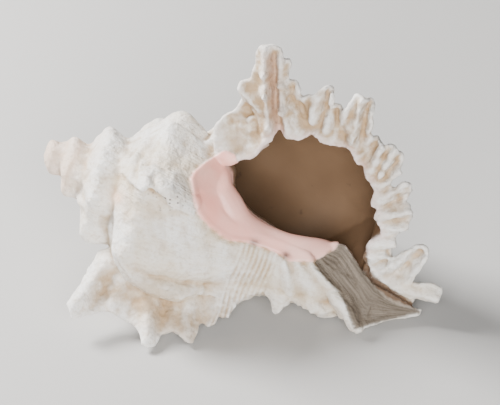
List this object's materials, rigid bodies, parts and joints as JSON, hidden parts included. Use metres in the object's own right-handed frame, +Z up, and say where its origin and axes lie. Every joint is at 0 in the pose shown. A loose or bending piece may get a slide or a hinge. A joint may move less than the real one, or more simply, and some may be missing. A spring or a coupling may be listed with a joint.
{
  "type": "murex shell",
  "caption": "Large bleached murex seashell lying on its varix spines, with an open pink-rimmed aperture, frilled outer lip and siphonal canal.",
  "frame": {"origin": "centre of the bounding box on the surface that the shell rests on", "axes": "+Z up, +X along the shell from the apex to the siphonal canal as seen from the front, the aperture faces -Y and up"},
  "size_m": [0.1721, 0.1053, 0.122],
  "materials": {
    "bleached_shell": "chalky bleached aragonite, worn matt outside, pink enamel on the inner lip, smooth inside"
  },
  "bodies": {
    "root": {"murex_shell": "bleached_shell"}
  },
  "joints": []
}
